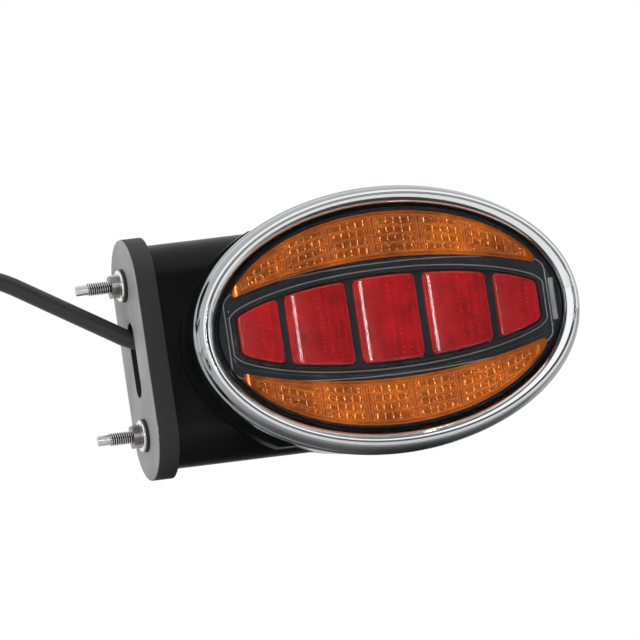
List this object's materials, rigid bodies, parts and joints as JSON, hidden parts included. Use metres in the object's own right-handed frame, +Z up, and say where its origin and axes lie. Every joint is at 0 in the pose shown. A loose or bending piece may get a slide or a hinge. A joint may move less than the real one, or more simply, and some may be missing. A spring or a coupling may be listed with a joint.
{
  "type": "trailer tail light",
  "caption": "Oval chrome-ringed LED rear lamp with red centre blocks and amber crescents, on a short side arm with a rubber pad, studs and a cable.",
  "frame": {"origin": "centre of the rubber pad's mounting face", "axes": "+X from the mounting face along the arm to the lamp, +Z up along the oval's short axis, the light face looks along -Y"},
  "size_m": [0.4109, 0.104, 0.1199],
  "materials": {
    "pad_rubber": "light grey moulded rubber",
    "arm_plastic": "black, fine satin grain",
    "bowl_plastic": "black, semi-gloss",
    "chrome_ring": "bright chrome plating",
    "clear_lens": "clear polycarbonate",
    "black_rubber": "black rubber",
    "mask_plastic": "dark slate, glossy",
    "red_lens": "transparent red",
    "amber_lens": "transparent amber",
    "white_plastic": "white reflector plastic",
    "board_green": "green solder mask",
    "led_package": "LED package",
    "zinc_steel": "bright zinc plate",
    "grey_plastic": "grey moulded plastic",
    "core_insulation": "coloured core insulation",
    "cable_jacket": "black jacket",
    "tie_plastic": "black cable tie"
  },
  "bodies": {
    "lamp": {"amber_lower": "amber_lens", "amber_upper": "amber_lens", "arm": "arm_plastic", "arm_screws": "zinc_steel", "bezel": "chrome_ring", "board_screws": "zinc_steel", "bowl": "bowl_plastic", "cable_coil": "cable_jacket", "cable_cores": "core_insulation", "cable_grommet": "black_rubber", "cable_tube": "cable_jacket", "circuit_board": "board_green", "coil_tie": "tie_plastic", "inner_cores": "core_insulation", "junction_block": "grey_plastic", "leds_amber": "led_package", "leds_red": "led_package", "lens_seal": "black_rubber", "mask": "mask_plastic", "mounting_pad": "pad_rubber", "outer_lens": "clear_lens", "red_block_1": "red_lens", "red_block_2": "red_lens", "red_block_3": "red_lens", "red_block_4": "red_lens", "red_block_5": "red_lens", "reflector_tray": "white_plastic", "studs": "zinc_steel", "vent_plug": "black_rubber"},
    "washer_upper": {"washer_upper": "black_rubber"},
    "nut_upper": {"nut_upper": "zinc_steel"},
    "washer_lower": {"washer_lower": "black_rubber"},
    "nut_lower": {"nut_lower": "zinc_steel"}
  },
  "joints": [
    {"name": "washer_upper_slide", "type": "slide", "parent": "lamp", "child": "washer_upper", "axis": [-1, 0, 0], "range_m": [0, 0.01]},
    {"name": "nut_upper_spin", "type": "hinge", "parent": "washer_upper", "child": "nut_upper", "pos_m": [0, 0, 0.034], "axis": [-1, 0, 0], "range_deg": [0, 3600]},
    {"name": "washer_lower_slide", "type": "slide", "parent": "lamp", "child": "washer_lower", "axis": [-1, 0, 0], "range_m": [0, 0.01]},
    {"name": "nut_lower_spin", "type": "hinge", "parent": "washer_lower", "child": "nut_lower", "pos_m": [0, 0, -0.034], "axis": [-1, 0, 0], "range_deg": [0, 3600]}
  ],
  "couplings": [
    {"joint": "nut_upper_spin", "follows": "washer_upper_slide", "rad_per_m": 6283.2},
    {"joint": "nut_lower_spin", "follows": "washer_lower_slide", "rad_per_m": 6283.2}
  ]
}
